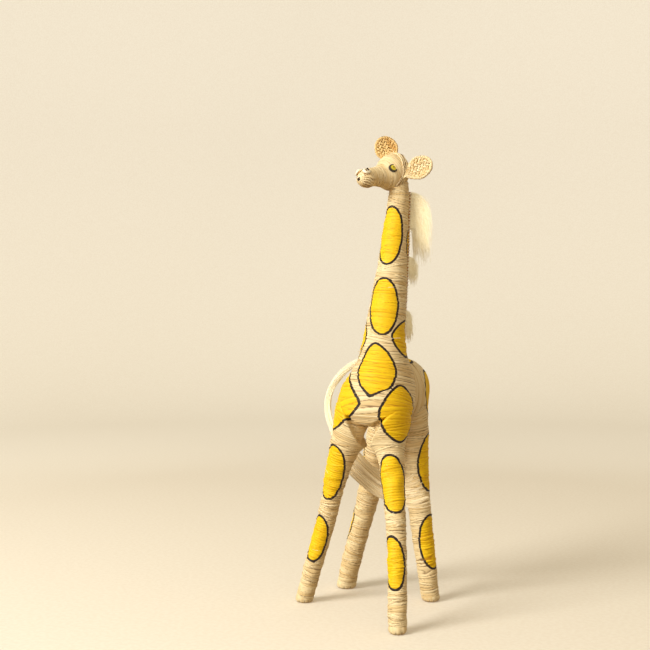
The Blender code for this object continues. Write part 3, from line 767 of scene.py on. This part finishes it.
def foot(leg, ring, tone, seed):
    """The folded end of a leg's wrap: down its side, round the edge and flat across the floor."""
    path = PATHS[leg]
    down = path.tangent[-1] * np.sign(-path.tangent[-1][2])
    columns = len(ring)
    angles = round_angles(columns)
    rng = np.random.default_rng(seed)
    fold = 0.5 + 0.5 * np.cos(angles * FOLDS + 1.5 * np.sin(angles * 2 + rng.uniform(0, TURN)))
    edge = ring + down * ((ring[:, 2] - FOOT_ROUND) / -down[2])[:, None]
    centre = edge.mean(0)
    inward = unit((centre - edge) * np.array([1, 1, 0]))
    # Painted shade: the ridge share drops in the creases between the folds, on the side rows and on the
    # underside
    fold_shade_ridge = 1 - 0.6 * smoothstep(0.35, 0.0, fold)
    rows = [ring]
    ridges = [np.ones(columns)]
    for step in range(1, FOOT_ROWS + 1):
        share = step / FOOT_ROWS
        bulge = -inward * (0.25 * math.sin(math.pi * share) + 0.2 * share * fold)[:, None]
        rows.append(ring * (1 - share) + edge * share + bulge)
        ridges.append(1 - 0.4 * share * smoothstep(0.3, 0.0, fold))
    for step in range(1, FOOT_ROWS + 1):
        bend = step / FOOT_ROWS * math.pi / 2
        inset = FOOT_ROUND * (1 - math.cos(bend))
        row = edge + inward * (inset - 0.2 * fold * math.cos(bend))[:, None]
        row[:, 2] = FOOT_ROUND * (1 - math.sin(bend)) + FOLD_DEPTH * (1 - fold) * math.sin(bend)
        rows.append(row)
        ridges.append(fold_shade_ridge)
    reach = np.linalg.norm((centre - rows[-1])[:, :2], axis=1)
    for share in (0.25, 0.5, 0.75, 0.93):
        row = rows[2 * FOOT_ROWS] + inward * (reach * share)[:, None]
        row[:, 2] = FOLD_DEPTH * (1 - fold) * (1 - share)
        rows.append(row)
        ridges.append(fold_shade_ridge)
    rings = np.stack(rows)
    along = np.concatenate([[0], np.cumsum(np.linalg.norm(np.diff(rings, axis=0), axis=-1).mean(1))])
    ring_surface(leg + "_sole_folds", rings, along[:, None], angles * path.radius[-1], RAFFIA,
                 [leg + "_sole"], 0.6 * tone + 0.3 * fold, np.stack(ridges))


for number, leg_name in enumerate(LEGS):
    partners = [column, torso, *front_legs] if leg_name.startswith("front") else [torso, *rear_legs]
    partners.remove(PATHS[leg_name])
    last_ring, last_tone = wrap(
        leg_name, leg_name + "_leg_strands", 84, 2.05, 0.48, partners, 0.3, 41 + 10 * number, 3.6, 1.0,
        RAFFIA, [leg_name + "_leg_wrap"]
    )
    foot(leg_name, last_ring, last_tone, 91 + number)

# ---- head details


def on_head(s, degrees, lift=0.0):
    return head.at(np.asarray(s, float), np.asarray(degrees, float), lift)


def head_ribbons(name, routes, width, thick, look, replaced=(), seed=1, tone=None):
    """Flat strands laid on the head: each route is (distance along, degrees, lift) rows."""
    lines, facings = [], []
    steps = 26
    for route in routes:
        smooth = catmull_rom([(*row, 0.0) for row in route], 10)
        places = np.linspace(0, len(smooth) - 1, steps)
        s, degrees, lift = rows_at(places, np.arange(len(smooth)), smooth[:, :3]).T
        points, out = on_head(s, degrees, lift)
        lines.append(points)
        facings.append(out)
    ends = np.sin(np.linspace(0.06, 0.94, steps) * math.pi) ** 0.35
    rng = np.random.default_rng(seed)
    tone = rng.random(len(lines)) if tone is None else tone
    facings = np.array(facings)
    tubes(name, lines, width * ends, look, replaced, thick * ends, facings, 8, tone, 0.75)


def band_routes(side, places):
    """Three strands side by side along the band that runs from the throat to the crown."""
    routes = []
    for offset in (-2.0, 0.0, 2.0):
        routes.append([(s + offset, side * degrees, 0.45) for s, degrees in places])
    return routes


BAND = [(20.2, 178.0), (20.9, 137.0), (17.0, 104.0), (13.5, 76.0), (10.9, 48.0), (9.2, 20.0), (8.8, -12.0)]
BAND_TONES = np.array([0.05, 0.35, 0.15])
for side, sign in (("left", 1), ("right", -1)):
    head_ribbons(side + "_cheek_strands", band_routes(sign, BAND[:4]), 0.88, 0.85, FACE,
                 [side + "_cheek_band"], 3, BAND_TONES)
# Dark ribbons laid under the bands: painted shade between their strands
SHADES = {"left_cheek": (1, BAND[:4]), "right_cheek": (-1, BAND[:4]), "crown": (1, BAND[3:])}
for name, (sign, places) in SHADES.items():
    under = [(s, sign * degrees, 0.15) for s, degrees in places]
    head_ribbons(name + "_shade", [under], 3.1, 0.35, GAP_SHADE)
head_ribbons("crown_strands", band_routes(1, BAND[3:]), 0.88, 0.85, FACE, ["crown_band"], 5,
             BAND_TONES)

lip_routes = []
for degrees in (84, 100, 118, 138, 160, 182, 204, 224, 242, 258, 274):
    drawn_in = 180 + (degrees - 180) * (0.75 + 0.1 * math.sin(degrees))
    start = (57.2, 180 + (degrees - 180) * 0.9, 0.2)
    end = [(45.5, drawn_in, 0.3), (42.5, drawn_in, -0.3)]
    lip_routes.append([start, (54.5, degrees, 0.5), (50.0, degrees, 0.5), *end])
head_ribbons("lip_strands", lip_routes, 1.0, 0.7, FACE, (), 6)


def head_axes(s, degrees, lift=0.0):
    """A point on the head and three directions there: outward, back along the head and across it."""
    centre, out = on_head(s, degrees, lift)
    along = unit(-head_axis - (out @ -head_axis) * out)
    return centre, out, along, np.cross(out, along)


def dome(name, s, degrees, profile, look, squash, drop=0.0, stretch=1.0):
    """A small round patch on the head: profile rows are (distance out, height, colour place)."""
    centre, out, along, across = head_axes(s, degrees)
    if across[2] < 0:
        across = -across
    columns = 36
    angles = round_angles(columns)
    low = np.clip(-np.sin(angles), 0, 1) ** 2
    rows = []
    for distance, height, _ in profile:
        reach = distance * (1 + drop * low * (distance > 1.5))
        row = centre + along * (reach * np.cos(angles) * stretch)[:, None]
        row = row + across * (reach * np.sin(angles) * squash)[:, None] + out * height
        rows.append(row)
    rings = np.stack(rows)
    distances, _, places = np.array(profile).T[:, :, None]
    ring_surface(name, rings, angles * 3, distances, look, tone=0.4, spot=places)


EYE_PROFILE = [
    (3.5, -0.9, 1.3), (3.45, 0.25, 1.3), (3.1, 0.75, 1.25), (2.6, 0.8, 1.1), (2.35, 0.55, 0.98),
    (2.2, 0.5, 0.9), (1.6, 0.85, 0.6), (1.0, 1.05, 0.4), (0.5, 1.12, 0.2), (0.1, 1.15, 0.0),
]
dome("left_eye", 24.3, 65.0, EYE_PROFILE, EYE, 0.95, 0.28, 1.25)
dome("right_eye", 24.3, -65.0, EYE_PROFILE, EYE, 0.95, 0.28, 1.25)


def loop_on_head(name, s, degrees, long_half, short_half, lift, turns, radius, look, tilt=0.0):
    """A small raised loop of strand lying on the head."""
    centre, out, along, across = head_axes(s, degrees, lift)
    place = np.linspace(0, 1, 60)
    angles = place * TURN * turns
    shrink = 1 - 0.22 * place
    x = long_half * np.cos(angles + tilt) * shrink
    y = short_half * np.sin(angles + tilt) * shrink
    line = centre + along * x[:, None] + across * y[:, None] + out * (0.9 * place)[:, None]
    tubes(name, [line], radius, look, sides=7, tone=np.array([0.2]))


NOSTRIL_PROFILE = [(2.5, -0.8, 0), (2.4, 0.6, 0), (1.2, 0.9, 0), (0.1, 0.95, 0)]
MOUTH_PROFILE = [(1.6, -1.0, 0), (1.5, 0.7, 0), (0.9, 1.0, 0), (0.1, 1.1, 0)]
for side, sign in (("left", 1), ("right", -1)):
    loop_on_head(side + "_nostril", 49.6, sign * 42.0, 3.2, 2.8, 0.6, 1.9, 0.95, LOOSE)
    dome(side + "_nostril_middle", 49.6, sign * 42.0, NOSTRIL_PROFILE, RIDGE, 0.85)
    loop_on_head(side + "_nostril_shade", 48.2, sign * 40.0, 0.5, 1.6, 1.3, 0.5, 0.55, DARK, -1.2)
dome("mouth", 56.2, 66.0, MOUTH_PROFILE, DARK, 0.85)

# ---- ears


EAR_STRAND = {"left": FACE, "right": PLAIT}


def ear(side):
    """A dished leaf: a dark backing painted as the shade between the plaits, plaits from its base to its
    tip, a bound rim and a pleated base.
    """
    centre, tip, facing, long_half, short_half = EARS[side]
    centre = np.array(centre)
    tip = unit(tip)
    facing = unit(np.array(facing) - (np.array(facing) @ tip) * tip)
    wide = np.cross(facing, tip)

    def place(x, y, lift):
        """x runs to the tip and y across, both from -1 to 1 at the rim; lift is towards the open side."""
        dish = -2.4 * (1 - np.clip(x**2 + y**2, 0, 1.1)) * smoothstep(-1.0, 0.0, x)
        leaf = y * (1 - 0.34 * smoothstep(0.1, -1.0, x)) * short_half
        flat = centre + tip * (x * long_half)[..., None] + wide * leaf[..., None]
        return flat + facing * (dish + lift)[..., None]

    columns = 60
    angles = round_angles(columns)
    rows = []
    shares = (0.02, 0.25, 0.5, 0.72, 0.88, 0.97)
    for lift, outward in ((-0.4, shares), (-1.5, shares[::-1])):
        for share in outward:
            rows.append(place(share * np.cos(angles), share * np.sin(angles), np.full(columns, lift)))
    tone = 0.5 + 0.5 * np.sin(angles * 7)
    ring_surface(side + "_ear_backing", np.stack(rows), np.cos(angles) * 10, np.sin(angles) * 10, GAP_SHADE,
                 [side + "_ear_panel"], tone, 0.6)

    rng = np.random.default_rng(len(side))
    lines = []
    steps = 72
    run = np.linspace(-0.9, 0.9, steps)
    room = np.sqrt(np.clip(1 - (run * 0.97) ** 2, 0.02, 1))
    for row in (-0.6, 0.0, 0.6):
        for strand in range(3):
            phase = run * long_half / 9.5 * TURN + strand * TURN / 3 + row * 4
            y = row * room + 2.1 * np.sin(phase) / short_half * np.sqrt(room)
            lines.append((run, y, 0.5 + 0.7 * np.sin(2 * phase)))
    plaits = [place(x, y, lift) for x, y, lift in lines]
    facings = np.broadcast_to(facing, (len(plaits), steps, 3))
    ends = np.sin(np.linspace(0.03, 0.97, steps) * math.pi) ** 0.3
    strand = EAR_STRAND[side]
    tubes(side + "_ear_plaits", plaits, 1.25 * ends, strand, (), 0.75 * ends, facings, 8,
          rng.random(len(plaits)), 0.9)

    back = [place(x, y, -1.9 - lift) for x, y, lift in lines]
    tubes(side + "_ear_back_plaits", back, 1.3 * ends, PLAIT, (), 0.7 * ends, -facings,
          8, rng.random(len(back)), 0.9)

    windings = 21
    around = np.linspace(0, TURN, 12 * windings + 1)
    coils = []
    for start in (0.0, 0.5):
        wound = around * windings + start * TURN
        grow = 1 + 0.75 * np.cos(wound) / long_half
        coils.append(place(np.cos(around) * grow, np.sin(around) * grow, 0.75 * np.sin(wound)))
    tubes(side + "_ear_binding", coils, 0.8, strand, [side + "_ear_rim"], sides=7,
          tone=np.array([0.1, 0.45]))
    core_line = place(np.cos(around), np.sin(around), np.zeros(len(around)))
    tubes(side + "_ear_rim_core", [core_line], 0.9, strand, sides=8, tone=np.array([0.6]))

    base = centre - tip * long_half
    pleats = []
    stops = [(-3.0, 1.0, 0.4), (0.5, 1.2, 1.2), (4.0, 1.7, 1.1), (8.5, 2.5, -0.4)]
    for face in (1, -1):
        for number in (-2, -1, 0, 1, 2):
            rows = [base + tip * x + wide * y * number + facing * face * z for x, y, z in stops]
            pleats.append(catmull_rom(rows, 8))
    taper = np.linspace(1, 0.45, len(pleats[0]))
    tubes(side + "_ear_base_pleats", pleats, 1.15 * taper, FACE, sides=8,
          tone=rng.random(len(pleats)), edge=0.6)


for ear_side in EARS:
    ear(ear_side)

# ---- mane


def nape(heights, stand_off, sideways=0.0):
    """Points outside the neck, on the side where the mane grows, and the directions out and across."""
    table = np.array(COLUMN)
    x, y, radius = (np.interp(heights, table[:, 2], table[:, k]) for k in (0, 1, 3))
    share = ((heights - MANE_BOTTOM) / (MANE_TOP - MANE_BOTTOM))[..., None]
    facing = np.array(MANE_FACING_BOTTOM) * (1 - share) + np.array(MANE_FACING_TOP) * share
    out = np.concatenate([unit(facing), np.zeros((*share.shape[:-1], 1))], axis=-1)
    across = np.stack([-out[..., 1], out[..., 0], np.zeros(out.shape[:-1])], axis=-1)
    middle = np.stack([x, y, heights], axis=-1)
    reach = np.asarray(radius + stand_off)[..., None]
    return middle + out * reach + across * np.asarray(sideways)[..., None], out, across


seam_heights = np.linspace(MANE_BOTTOM, MANE_TOP, 150)
seam_rng = np.random.default_rng(70)
seam_wobble = 0.25 * np.sin(seam_heights * 0.9) + 0.2 * np.sin(seam_heights * 2.3)
seam_line, seam_out, _ = nape(seam_heights, 0.9, seam_wobble)
# The seam's brown, darker than the wrap, is painted shade
tubes("mane_seam", [seam_line], 1.15, RIDGE, ["mane_cord"], 1.25, [seam_out], 9)

stitch_lines = []
for height in np.arange(MANE_BOTTOM + 1.5, MANE_TOP - 1, 2.75):
    middle, out, across = nape(np.array([height]), 0.9)
    bend = np.linspace(-1.9, 1.9, 9)[:, None]
    slant = seam_rng.uniform(-0.3, 0.3)
    line = middle + across * (np.sin(bend) * 1.6) + out * (np.cos(bend) * 1.55)
    line[:, 2] += bend[:, 0] * slant
    stitch_lines.append(line)
tubes("mane_stitches", stitch_lines, 0.55, LOOSE, sides=6,
      tone=seam_rng.random(len(stitch_lines)) * 0.5)


def mane_tuft(name, count, top, bottom, reach, drop, seed, replaced, lift):
    """Fine fibres that leave the seam, arch outward and hang."""
    rng = np.random.default_rng(seed)
    steps = 11
    t = np.linspace(0, 1, steps)[None, :]
    heights = rng.uniform(bottom, top, count)
    root, out, across = nape(heights, 0.6, rng.normal(0, 0.5, count))
    far = reach * rng.uniform(0.25, 1.0, count)[:, None]
    fall = drop * rng.uniform(0.35, 1.0, count)[:, None]
    rise = lift * rng.uniform(0.2, 1.0, count)[:, None]
    sway = rng.normal(0, 0.32, count)[:, None] * far
    curl = rng.normal(0, 1.1, count)[:, None]
    spin = rng.uniform(0, TURN, count)[:, None]
    outward = far * (1 - (1 - t) ** 2.2) + curl * np.sin(t * 5 + spin) * t
    sideways = sway * t + curl * np.cos(t * 4 + spin) * t
    up = rise * np.sin(t * math.pi * 0.7) - fall * t**1.7
    lines = root[:, None] + out[:, None] * outward[..., None] + across[:, None] * sideways[..., None]
    lines[..., 2] += up
    width = rng.uniform(0.13, 0.24, count)[:, None] * (1 - 0.65 * t**2)
    tubes(name, lines, width, LOOSE, replaced, sides=3, tone=rng.random(count) * 0.8)


mane_tuft("mane_fibres_1", 1000, 366.0, 334.0, 19.0, 36.0, 71, ["mane_tuft_1"], 3.0)
mane_tuft("mane_fibres_2", 260, 309.0, 296.0, 10.0, 16.0, 72, ["mane_tuft_2"], 2.0)
mane_tuft("mane_fibres_3", 260, 262.0, 247.0, 8.0, 17.0, 73, ["mane_tuft_3"], 2.0)

# ---- tail


def even_line(rows, steps):
    """Even steps along the smooth curve through the rows, and the direction it runs at each."""
    dense = catmull_rom(rows, 24)
    length = length_along(dense)
    table = rows_at(np.linspace(0, length[-1], steps), length, dense)
    return table, unit(np.gradient(table[:, :3], axis=0))


def round_places(rng, count):
    """The angle and the share of the radius at which each strand of a bundle lies."""
    angle = rng.uniform(0, TURN, count)[:, None]
    reach = np.sqrt(rng.uniform(0.03, 1, count))[:, None]
    # Nothing uses this draw: it keeps the later ones as they are
    rng.normal(0, 1, count)
    return angle, reach


TAIL_STRANDS = 96
TAIL_STEPS = 72
TAIL_TWIST = 2.2
table, tangent = even_line(TAIL_ARCH, TAIL_STEPS)
rng = np.random.default_rng(81)
angle, reach = round_places(rng, TAIL_STRANDS)
angle = angle + TAIL_TWIST * np.linspace(0, 1, TAIL_STEPS)[None]
first = unit(np.cross(tangent, np.array([0.3, 0.9, 0.32])))
second = np.cross(tangent, first)
size = (table[:, 3] * 1.12 + 0.2)[None] * reach
tail_lines = table[None, :, :3] + first[None] * (size * np.cos(angle))[..., None]
tail_lines = tail_lines + second[None] * (size * np.sin(angle))[..., None]
tail_width = rng.uniform(0.36, 0.62, TAIL_STRANDS)[:, None]
tubes("tail_strands", tail_lines, tail_width, LOOSE, ["tail_sheaf"], tail_width * 0.8,
      tone=rng.random(TAIL_STRANDS) * 0.6)

# The tassel is a flat band of strips that faces forward and left, and frays at its end
TASSEL_STRIPS = 110
TASSEL_STEPS = 34
BAND_AWAY = np.array([-0.407, 0.914, 0.0])
table, tangent = even_line([TAIL_ARCH[-2], *TAIL_TASSEL], TASSEL_STEPS)
rng = np.random.default_rng(82)
# A flat band has no use for these places, and drawing them keeps the later draws as they are
round_places(rng, TASSEL_STRIPS)
across = unit(np.cross(tangent, BAND_AWAY))
deep = np.cross(tangent, across)
t = np.linspace(0, 1, TASSEL_STEPS)
half_width = 3.6 + 6.0 * smoothstep(0.02, 0.30, t) + 2.5 * smoothstep(0.7, 1, t)
place = rng.uniform(-1, 1, TASSEL_STRIPS)[:, None]
wave = 0.5 * np.sin(3 * t + rng.uniform(0, TURN, TASSEL_STRIPS)[:, None])
stray = rng.normal(0, 4.0, TASSEL_STRIPS)[:, None] * smoothstep(0.65, 1.0, t)
depth = rng.normal(0, 1.3, TASSEL_STRIPS)[:, None] * (0.5 + 0.5 * t)
tassel_lines = table[None, :, :3] + across * (place * half_width + wave + stray)[..., None]
tassel_lines = tassel_lines + deep * depth[..., None]
cut_short = rng.uniform(0.84, 1.0, TASSEL_STRIPS)
places = t * cut_short[:, None] * (TASSEL_STEPS - 1)
whole = np.floor(places).astype(int).clip(0, TASSEL_STEPS - 2)
part = (places - whole)[..., None]
strand_index = np.arange(TASSEL_STRIPS)[:, None]
before = tassel_lines[strand_index, whole]
tassel_lines = before * (1 - part) + tassel_lines[strand_index, whole + 1] * part
strip = rng.uniform(0.35, 1.1, TASSEL_STRIPS)[:, None] * (1 - 0.6 * t**3)
band_facing = np.broadcast_to(-BAND_AWAY, tassel_lines.shape)
tubes("tassel_strips", tassel_lines, strip, TASSEL, ["tail_tassel"], strip * 0.22,
      band_facing, 6, rng.random(TASSEL_STRIPS), 0.5)

root_line = catmull_rom(TAIL_ARCH[:3], 24)[4:34, :3]
root_tangent = unit(np.gradient(root_line, axis=0))
root_first = unit(np.cross(root_tangent, np.array([0.0, 0.0, 1.0])))
root_second = np.cross(root_tangent, root_first)
ROOT_TURNS = 6.5
root_places = np.linspace(0, 1, 150)
known = np.arange(len(root_line))
read = root_places * known[-1]
root_at, root_a, root_b = (rows_at(read, known, part) for part in (root_line, root_first, root_second))
root_angle = root_places * TURN * ROOT_TURNS
root_reach = 4.3 - 1.2 * root_places
winding = root_at + root_a * (root_reach * np.cos(root_angle))[:, None]
winding = winding + root_b * (root_reach * np.sin(root_angle))[:, None]
tubes("tail_root_winding", [winding], 0.95, RAFFIA, ["tail_root"], sides=7,
      tone=np.array([0.4]))

# ---- stray fibres

stray_rng = np.random.default_rng(95)
stray_lines = []
STRAYS = {"column": 12, "front_left": 9, "front_right": 10, "rear_left": 10, "rear_right": 8, "torso": 6}
for limb_name, how_many in STRAYS.items():
    limb_path = PATHS[limb_name]
    for _ in range(how_many):
        along = stray_rng.uniform(0.25, 0.97) * limb_path.s[-1]
        around = stray_rng.uniform(0, 360)
        steps = np.linspace(0, 1, 8)
        length = stray_rng.uniform(3, 8)
        lifts = 0.2 + 1.8 * steps**2 * stray_rng.uniform(0.3, 1.2)
        turn = around + np.degrees(length * steps / 9)
        rise = along + steps * stray_rng.uniform(-2, 2)
        stray_lines.append(limb_path.at(rise, turn, lifts)[0])
tubes("stray_fibres", stray_lines, 0.14, LOOSE, sides=4)

# ---- solids that stay

for node_name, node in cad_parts.items():
    if node.hide_render:
        continue
    inside = STRAW if node_name.endswith("_core") else STEEL
    for material_slot in node.material_slots:
        material_slot.material = inside

# ---- studio


def studio():
    """A round pale floor that curves up into a wall all the way round."""
    floor_radius, cove, wall = 2.6, 0.9, 2.6
    profile = [(0.0, 0.0), (floor_radius * 0.5, 0.0), (floor_radius - cove, 0.0)]
    for step in range(1, 9):
        bend = step / 8 * math.pi / 2
        profile.append((floor_radius - cove + cove * math.sin(bend), cove * (1 - math.cos(bend))))
    profile.append((floor_radius, wall))
    columns = 96
    verts = [(0.0, 0.0, 0.0)]
    for reach, height in profile[1:]:
        for step in range(columns):
            turn = step / columns * TURN
            verts.append((reach * math.cos(turn), reach * math.sin(turn), height))
    faces = [(0, 1 + step, 1 + (step + 1) % columns) for step in range(columns)]
    for row in range(len(profile) - 2):
        for step in range(columns):
            here = 1 + row * columns
            after = (step + 1) % columns
            faces.append((here + step, here + columns + step, here + columns + after, here + after))
    mesh = bpy.data.meshes.new("studio_floor")
    mesh.from_pydata(verts, [], faces)
    mesh.shade_smooth()
    mesh.materials.append(stage_look())
    floor = bpy.data.objects.new("studio_floor", mesh)
    bpy.context.scene.collection.objects.link(floor)
    floor.visible_diffuse = False


def area_light(name, place, size, power, tint, target=(0.0, 0.0, 0.0)):
    """A soft disk light. Its place and target are metres right of, above and in front of the middle."""
    spots = []
    for right, up, front in (place, target):
        x = right * math.cos(CAMERA_TURN) + front * math.sin(CAMERA_TURN)
        y = right * math.sin(CAMERA_TURN) - front * math.cos(CAMERA_TURN)
        spots.append(Vector((x, y, up + MIDDLE_HEIGHT)))
    data = bpy.data.lights.new(name, "AREA")
    data.shape = "DISK"
    data.size = size
    data.energy = power
    data.color = tint
    lamp = bpy.data.objects.new(name, data)
    lamp.location = spots[0]
    lamp.rotation_euler = (spots[0] - spots[1]).to_track_quat("Z", "Y").to_euler()
    lamp.visible_camera = False
    bpy.context.scene.collection.objects.link(lamp)
    return lamp


CAMERA_TURN = math.radians(24)
CAMERA_PLACE = np.array([307.5, -799.0, 249.3])
MIDDLE_HEIGHT = 0.2
WALL_LIGHTS = 8
WALL_TINT = (0.79, 0.90, 1.0)
studio()
area_light("key_light", (-1.72, 0.9, 1.28), 1.2, 61.0, (1.0, 0.985, 0.96))
area_light("fill_light", (0.0, 0.35, 1.9), 1.2, 5.0, (1.0, 0.95, 0.86))
for number in range(WALL_LIGHTS):
    turn = number / WALL_LIGHTS * TURN
    x, z = math.cos(turn), math.sin(turn)
    area_light(f"wall_light_{number}", (0.2 * x, 0.9, 0.2 * z), 0.3, 10.0, WALL_TINT, (x, 1.3, z))
# The loose fibres let light through, so they have a light of their own and cast no shadow
hair = bpy.data.collections.new("loose_fibre_pieces")
loose_pieces = ["mane_fibres_1", "mane_fibres_2", "mane_fibres_3", "tail_strands", "tassel_strips"]
for piece_name in (*loose_pieces, "stray_fibres"):
    hair.objects.link(bpy.data.objects[piece_name])
    bpy.data.objects[piece_name].visible_shadow = False
hair_light = area_light("fibre_light", (1.0, 0.7, 1.2), 0.8, 10.0, (1.0, 0.95, 0.84))
hair_light.light_linking.receiver_collection = hair
world = bpy.data.worlds.new("studio_air")
air = Nodes(world)
upward = air.add("ShaderNodeSeparateXYZ", {0: air.add("ShaderNodeTexCoord")}, 2)
share = air.add("ShaderNodeMath", {0: upward, 1: 0.5, 2: 0.5}, operation="MULTIPLY_ADD")
ramp = air.add("ShaderNodeValToRGB", {0: share})
low, high = ramp.node.color_ramp.elements
low.position = 0.35
low.color = (0.25, 0.155, 0.07, 1.0)
high.position = 0.75
high.color = (0.55, 0.47, 0.35, 1.0)
air.put(air.tree.nodes["Background"].inputs[0], ramp)
bpy.context.scene.world = world
bpy.context.scene.view_settings.view_transform = "Standard"

camera_data = bpy.data.cameras.new("camera")
camera_data.sensor_width = 36.0
camera_data.lens = 55.27
camera = bpy.data.objects.new("camera", camera_data)
camera.location = (CAMERA_PLACE + SHIFT) * MM
camera.rotation_euler = (math.radians(90), 0.0, CAMERA_TURN)
bpy.context.scene.collection.objects.link(camera)
bpy.context.scene.camera = camera
